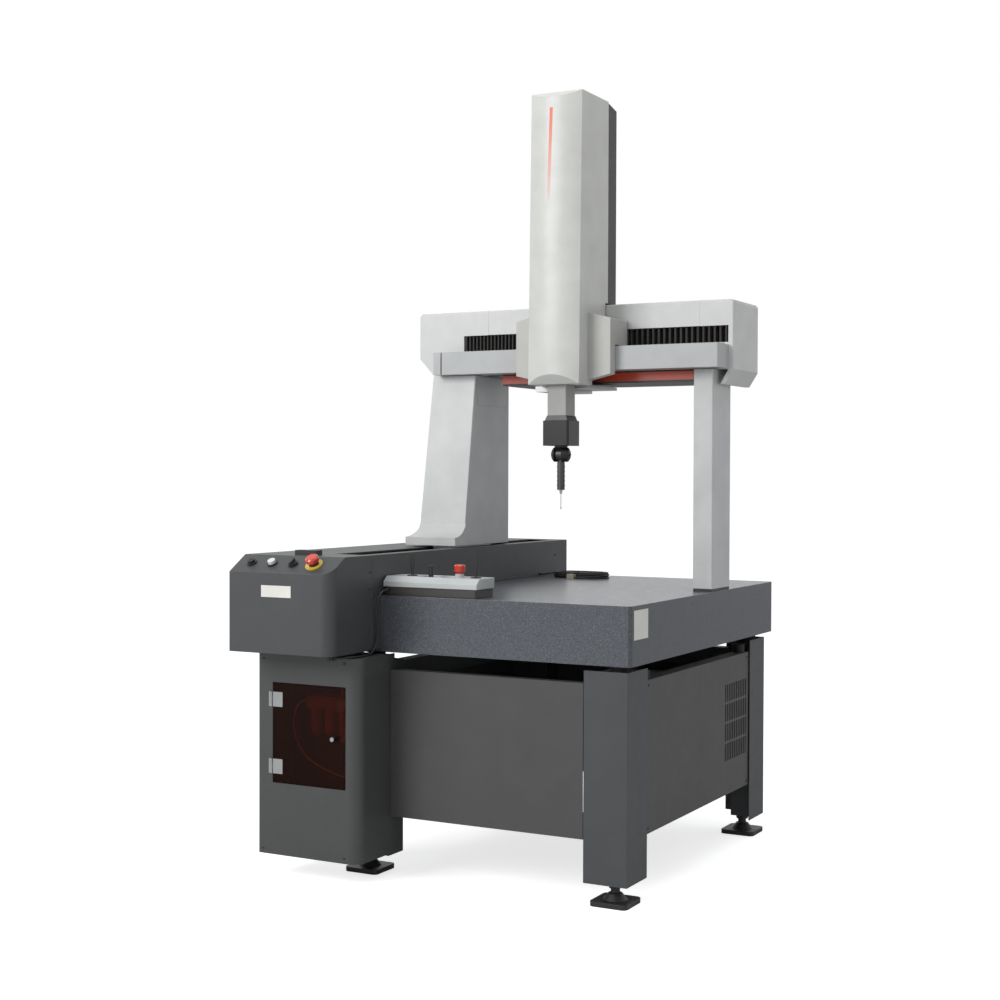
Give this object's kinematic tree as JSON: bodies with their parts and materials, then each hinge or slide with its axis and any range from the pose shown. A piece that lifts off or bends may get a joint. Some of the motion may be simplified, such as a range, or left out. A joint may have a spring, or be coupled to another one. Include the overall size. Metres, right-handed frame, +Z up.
{
  "type": "coordinate measuring machine",
  "caption": "Moving-bridge coordinate measuring machine: granite table on a steel stand, left guide housing, bridge, carriage and ram with probe head.",
  "frame": {"origin": "on the floor, below the centre of the machine's outline", "axes": "+X along the bridge beam to the machine's right, +Y from the operator's side to the rear, +Z up"},
  "size_m": [1.1104, 1.3955, 2.185],
  "materials": {
    "cast_black": "satin",
    "stand_grey": "satin",
    "cover_grey": "fine texture",
    "rubber_black": "matt",
    "panel_grey": "fine texture",
    "case_dark": "satin",
    "granite": "polished stone",
    "steel": "brushed",
    "housing_dark": "satin",
    "plastic_black": "satin",
    "plastic_yellow": "gloss",
    "cabinet_grey": "satin",
    "filter_grey": "satin",
    "hose_blue": "satin",
    "plastic_green": "gloss",
    "plastic_red": "gloss",
    "smoked_acrylic": "smoked, polished",
    "aluminium": "machined",
    "bearing_black": "black anodised",
    "column_white": "fine texture",
    "cover_white": "satin",
    "strip_grey": "satin",
    "accent_red": "satin",
    "bellows_black": "coated cloth",
    "wing_grey": "satin",
    "ram_grey": "anodised",
    "head_dark": "satin",
    "pendant_grey": "satin",
    "cord_black": "matt",
    "plug_beige": "satin"
  },
  "bodies": {
    "stand": {"levelling_feet": "cast_black", "stand_frame": "stand_grey", "corner_covers": "cover_grey", "isolators": "rubber_black", "stand_panels": "panel_grey", "right_panel": "panel_grey", "controller_unit": "case_dark", "granite_table": "granite", "table_inserts": "steel", "y_guide_rail": "granite", "guide_housing": "housing_dark", "slot_seals": "rubber_black", "control_box": "housing_dark", "panel_bezels": "plastic_black", "estop_collar": "plastic_yellow", "cabinet_shell": "cabinet_grey", "cabinet_fittings": "steel", "air_filter_unit": "filter_grey", "pressure_gauge": "plastic_black", "air_hose": "hose_blue", "pendant_base": "plastic_black", "pendant_cover": "pendant_grey", "cord_glands": "plastic_black", "pendant_cord": "cord_black", "sensor_hank": "cord_black", "sensor_lead": "cord_black", "sensor_block": "plug_beige"},
    "bridge": {"y_carriage": "aluminium", "air_bearings": "bearing_black", "left_column": "column_white", "right_column": "column_white", "x_beam": "aluminium", "beam_cover": "cover_white", "beam_end_caps": "cover_white", "beam_front_strip": "strip_grey", "under_beam_tray": "cover_grey", "accent_rail": "accent_red", "bellows_left": "bellows_black", "bellows_right": "bellows_black"},
    "x_carriage": {"carriage_saddle": "aluminium", "carriage_wings": "wing_grey", "column_cover": "cover_white", "rear_duct": "plastic_black", "z_guides": "aluminium", "drive_units": "case_dark"},
    "ram": {"ram_tube": "ram_grey", "probe_adapter": "plastic_black"},
    "probe_head": {"head_ball": "head_dark"},
    "probe": {"probe_body": "steel"},
    "stylus_module": {"stylus": "steel"},
    "cabinet_door": {"door_panel": "smoked_acrylic", "door_fittings": "steel"},
    "key": {"key_switch": "steel"},
    "start_push": {"start_button": "plastic_green"},
    "mode_rotary": {"mode_knob": "plastic_black"},
    "estop_push": {"estop_button": "plastic_red"},
    "stick_left": {"pendant_stick_left": "plastic_black"},
    "stick_right": {"pendant_stick_right": "plastic_black"},
    "dial": {"pendant_dial": "plastic_black"},
    "pendant_stop": {"pendant_estop": "plastic_red"}
  },
  "joints": [
    {"name": "bridge_y", "type": "slide", "parent": "stand", "child": "bridge", "axis": [0, 1, 0], "range_m": [-0.345, 0.36]},
    {"name": "carriage_x", "type": "slide", "parent": "bridge", "child": "x_carriage", "axis": [1, 0, 0], "range_m": [-0.222, 0.283], "deforming": ["bellows_left", "bellows_right"]},
    {"name": "ram_z", "type": "slide", "parent": "x_carriage", "child": "ram", "axis": [0, 0, 1], "range_m": [-0.22, 0.08]},
    {"name": "head_rotate", "type": "hinge", "parent": "ram", "child": "probe_head", "pos_m": [0.0824, 0.015, 1.154], "axis": [0, 0, 1], "range_deg": [-180, 180]},
    {"name": "head_tilt", "type": "hinge", "parent": "probe_head", "child": "probe", "pos_m": [0.0824, 0.015, 1.154], "axis": [-1, 0, 0], "range_deg": [0, 95]},
    {"name": "stylus_deflect", "type": "hinge", "parent": "probe", "child": "stylus_module", "pos_m": [0.0824, 0.015, 1.052], "axis": [1, 0, 0], "range_deg": [-3, 3], "stiffness_Nm_per_rad": 0.5},
    {"name": "door_hinge", "type": "hinge", "parent": "stand", "child": "cabinet_door", "pos_m": [-0.4875, -0.6002, 0.3945], "axis": [0, 0, -1], "range_deg": [0, 110]},
    {"name": "key_turn", "type": "hinge", "parent": "stand", "child": "key", "pos_m": [-0.5056, -0.66312, 0.85689], "axis": [0, -0.5267, 0.8501], "range_deg": [0, 90]},
    {"name": "start_press", "type": "slide", "parent": "stand", "child": "start_push", "axis": [0, 0.5267, -0.8501], "range_m": [0, 0.003], "stiffness_N_per_m": 400},
    {"name": "mode_turn", "type": "hinge", "parent": "stand", "child": "mode_rotary", "pos_m": [-0.371, -0.66312, 0.85689], "axis": [0, -0.5267, 0.8501], "range_deg": [-45, 45]},
    {"name": "estop_press", "type": "slide", "parent": "stand", "child": "estop_push", "axis": [0, 0.5267, -0.8501], "range_m": [0, 0.005], "stiffness_N_per_m": 800},
    {"name": "stick_left_tilt", "type": "hinge", "parent": "stand", "child": "stick_left", "pos_m": [-0.163, -0.4, 0.81735], "axis": [1, 0, 0], "range_deg": [-8, 8], "stiffness_Nm_per_rad": 0.1},
    {"name": "stick_right_tilt", "type": "hinge", "parent": "stand", "child": "stick_right", "pos_m": [0.035, -0.4, 0.81735], "axis": [1, 0, 0], "range_deg": [-8, 8], "stiffness_Nm_per_rad": 0.1},
    {"name": "dial_turn", "type": "hinge", "parent": "stand", "child": "dial", "pos_m": [-0.1045, -0.4, 0.812], "axis": [0, 0, 1], "range_deg": [-150, 150]},
    {"name": "pendant_stop_press", "type": "slide", "parent": "stand", "child": "pendant_stop", "axis": [0, 0, -1], "range_m": [0, 0.005], "stiffness_N_per_m": 600}
  ]
}
